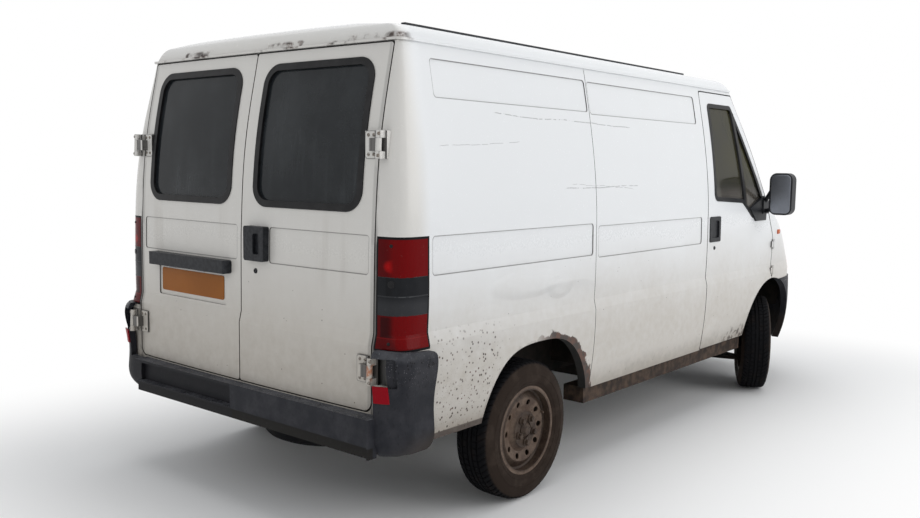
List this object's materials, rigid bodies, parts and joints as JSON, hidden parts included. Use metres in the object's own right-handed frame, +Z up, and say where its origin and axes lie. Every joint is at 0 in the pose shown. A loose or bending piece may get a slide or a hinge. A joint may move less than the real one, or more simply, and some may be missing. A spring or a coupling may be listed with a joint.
{
  "type": "panel van",
  "caption": "Low-roof short panel van with hinged rear doors, a sliding side door, opening front doors and bonnet, steered and turning wheels.",
  "frame": {"origin": "middle of the bounding box in plan, at the ground under the tyres", "axes": "+X forward along the van, +Y to its left, +Z up"},
  "size_m": [4.6595, 2.384, 2.15],
  "materials": {
    "body_paint": "white gloss paint, dirty and rust spotted",
    "dark_plastic": "grained, weathered",
    "screen_glass": "clear",
    "dark_glass": "dark tinted",
    "seal_rubber": "matt",
    "lamp_red": "moulded lens",
    "lamp_clear": "moulded lens",
    "plate_face": "blank, dull",
    "inner_steel": "worn paint",
    "underbody": "black, dusty",
    "exhaust_steel": "rust bloom",
    "engine": "oily",
    "cab_trim": "grained",
    "seat_cloth": "woven",
    "tyre": "dusty",
    "wheel_steel": "brake dust and rust"
  },
  "bodies": {
    "van_body": {"rear_frame": "body_paint", "side_panel_right": "body_paint", "side_panel_left": "body_paint", "sliding_door": "body_paint", "roof_panel": "body_paint", "cab_frame": "body_paint", "front_wings": "body_paint", "pillar_hinge_leaves": "body_paint", "roof_rails": "dark_plastic", "rear_bumper": "dark_plastic", "front_bumper": "dark_plastic", "grille": "dark_plastic", "sills": "dark_plastic", "windscreen": "screen_glass", "tail_lamps": "lamp_red", "headlamps": "lamp_clear", "load_floor": "inner_steel", "wheel_boxes": "inner_steel", "cab_floor": "inner_steel", "partition": "inner_steel", "chassis_frame": "underbody", "front_suspension": "underbody", "rear_axle": "underbody", "rear_springs": "underbody", "fuel_tank": "underbody", "exhaust": "exhaust_steel", "engine_block": "engine", "dashboard": "cab_trim", "driver_seat": "seat_cloth", "bench_seat": "seat_cloth", "spare_wheel": "tyre"},
    "rear_door_right_body": {"rear_door_right": "body_paint", "rear_rubber_right": "seal_rubber", "rear_glass_right": "dark_glass", "rear_handle": "dark_plastic"},
    "rear_door_left_body": {"rear_door_left": "body_paint", "rear_rubber_left": "seal_rubber", "rear_glass_left": "dark_glass", "lamp_bar": "dark_plastic", "rear_plate": "plate_face"},
    "front_door_right_body": {"front_door_right": "body_paint", "front_glass_right": "screen_glass", "front_handle_right": "dark_plastic", "mirror_right": "dark_plastic"},
    "front_door_left_body": {"front_door_left": "body_paint", "front_glass_left": "screen_glass", "front_handle_left": "dark_plastic", "mirror_left": "dark_plastic"},
    "bonnet_body": {"bonnet": "body_paint"},
    "steer_right": {"knuckle_right": "underbody"},
    "steer_left": {"knuckle_left": "underbody"},
    "wheel_front_right": {"tyre_front_right": "tyre", "rim_front_right": "wheel_steel"},
    "wheel_front_left": {"tyre_front_left": "tyre", "rim_front_left": "wheel_steel"},
    "wheel_rear_right": {"tyre_rear_right": "tyre", "rim_rear_right": "wheel_steel"},
    "wheel_rear_left": {"tyre_rear_left": "tyre", "rim_rear_left": "wheel_steel"}
  },
  "joints": [
    {"name": "rear_door_right_hinge", "type": "hinge", "parent": "van_body", "child": "rear_door_right_body", "pos_m": [-2.2905, -0.85, 0.747], "axis": [0.0498, 0, 0.9988], "range_deg": [0, 180]},
    {"name": "rear_door_left_hinge", "type": "hinge", "parent": "van_body", "child": "rear_door_left_body", "pos_m": [-2.2905, 0.85, 0.747], "axis": [0.0498, 0, 0.9988], "range_deg": [-180, 0]},
    {"name": "front_door_right_hinge", "type": "hinge", "parent": "van_body", "child": "front_door_right_body", "pos_m": [1.539, -0.974, 0.8], "axis": [0, 0, 1], "range_deg": [0, 68]},
    {"name": "front_door_left_hinge", "type": "hinge", "parent": "van_body", "child": "front_door_left_body", "pos_m": [1.539, 0.974, 0.8], "axis": [0, 0, 1], "range_deg": [-68, 0]},
    {"name": "bonnet_hinge", "type": "hinge", "parent": "van_body", "child": "bonnet_body", "pos_m": [1.7145, 0, 1.232], "axis": [0, -1, 0], "range_deg": [0, 60]},
    {"name": "steering_right", "type": "hinge", "parent": "van_body", "child": "steer_right", "pos_m": [1.4995, -0.775, 0.327], "axis": [0, 0, 1], "range_deg": [-63, 7]},
    {"name": "steering_left", "type": "hinge", "parent": "van_body", "child": "steer_left", "pos_m": [1.4995, 0.775, 0.327], "axis": [0, 0, 1], "range_deg": [-63, 7]},
    {"name": "wheel_front_right_spin", "type": "hinge", "parent": "steer_right", "child": "wheel_front_right", "pos_m": [1.5394, -0.85005, 0.327], "axis": [-0.4695, 0.8829, 0], "continuous": true},
    {"name": "wheel_front_left_spin", "type": "hinge", "parent": "steer_left", "child": "wheel_front_left", "pos_m": [1.45959, 0.85005, 0.327], "axis": [-0.4695, 0.8829, 0], "continuous": true},
    {"name": "wheel_rear_right_spin", "type": "hinge", "parent": "van_body", "child": "wheel_rear_right", "pos_m": [-1.3505, -0.86, 0.327], "axis": [0, 1, 0], "continuous": true},
    {"name": "wheel_rear_left_spin", "type": "hinge", "parent": "van_body", "child": "wheel_rear_left", "pos_m": [-1.3505, 0.86, 0.327], "axis": [0, 1, 0], "continuous": true}
  ],
  "couplings": [
    {"joint": "steering_left", "follows": "steering_right", "ratio": 1}
  ]
}
